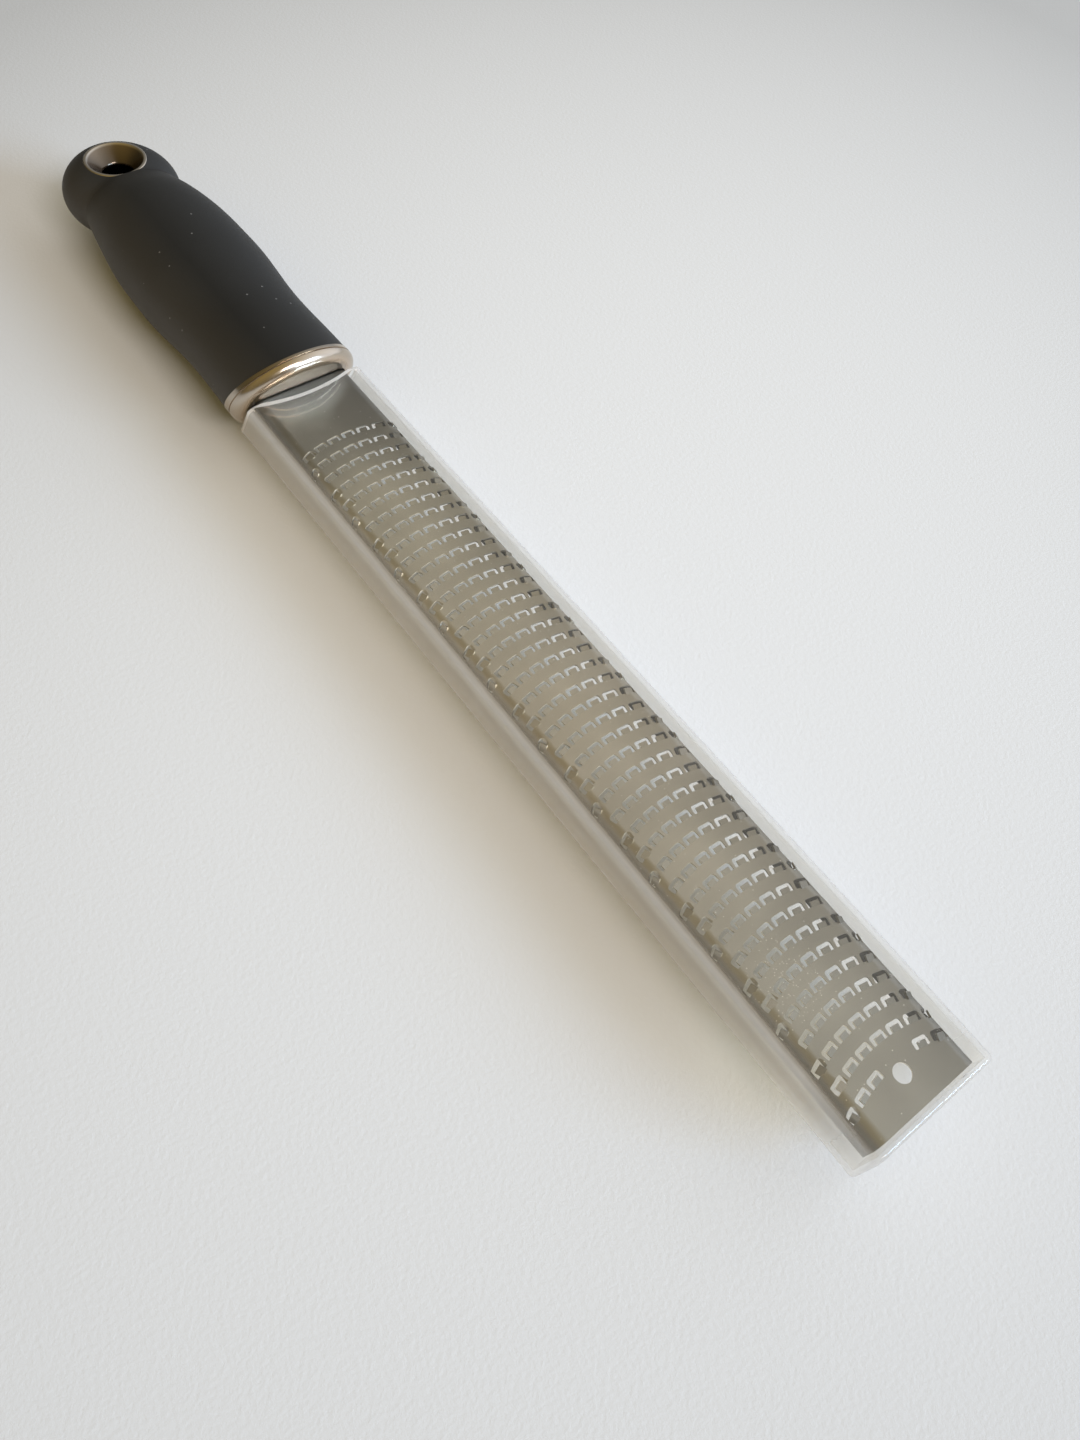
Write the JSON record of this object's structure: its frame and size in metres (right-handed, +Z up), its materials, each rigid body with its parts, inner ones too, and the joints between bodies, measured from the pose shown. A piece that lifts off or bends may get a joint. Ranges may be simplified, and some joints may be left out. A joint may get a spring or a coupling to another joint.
{
  "type": "rasp zester",
  "caption": "Hand rasp for zest and hard cheese: bent steel tooth blade, plated bolster, rubber grip with a funnel hang eye, and a clear slip-on cover.",
  "frame": {"origin": "centre of the whole tool's length and width, at the underside of the grip's belly", "axes": "+X along the tool, from the knob to the cover's closed tip; +Z up, towards the teeth; +Y to the left when looking along +X"},
  "size_m": [0.3336, 0.0374, 0.03],
  "materials": {
    "blade_steel": "satin, fine lengthwise grain",
    "plated_trim": "bright plating",
    "core_plastic": "moulded, plain",
    "pin_steel": "turned, plain",
    "grip_rubber": "matte soft-touch",
    "clear_cover": "clear, polished, slightly hazy"
  },
  "bodies": {
    "handle": {"blade": "blade_steel", "bolster": "plated_trim", "core_top": "core_plastic", "core_bottom": "core_plastic", "tang_pins": "pin_steel", "grip_sleeve": "grip_rubber", "eyelet_top": "plated_trim", "eyelet_bottom": "plated_trim"},
    "cover": {"cover": "clear_cover"}
  },
  "joints": [
    {"name": "cover_slide", "type": "slide", "parent": "handle", "child": "cover", "axis": [1, 0, 0], "range_m": [0, 0.215]}
  ]
}
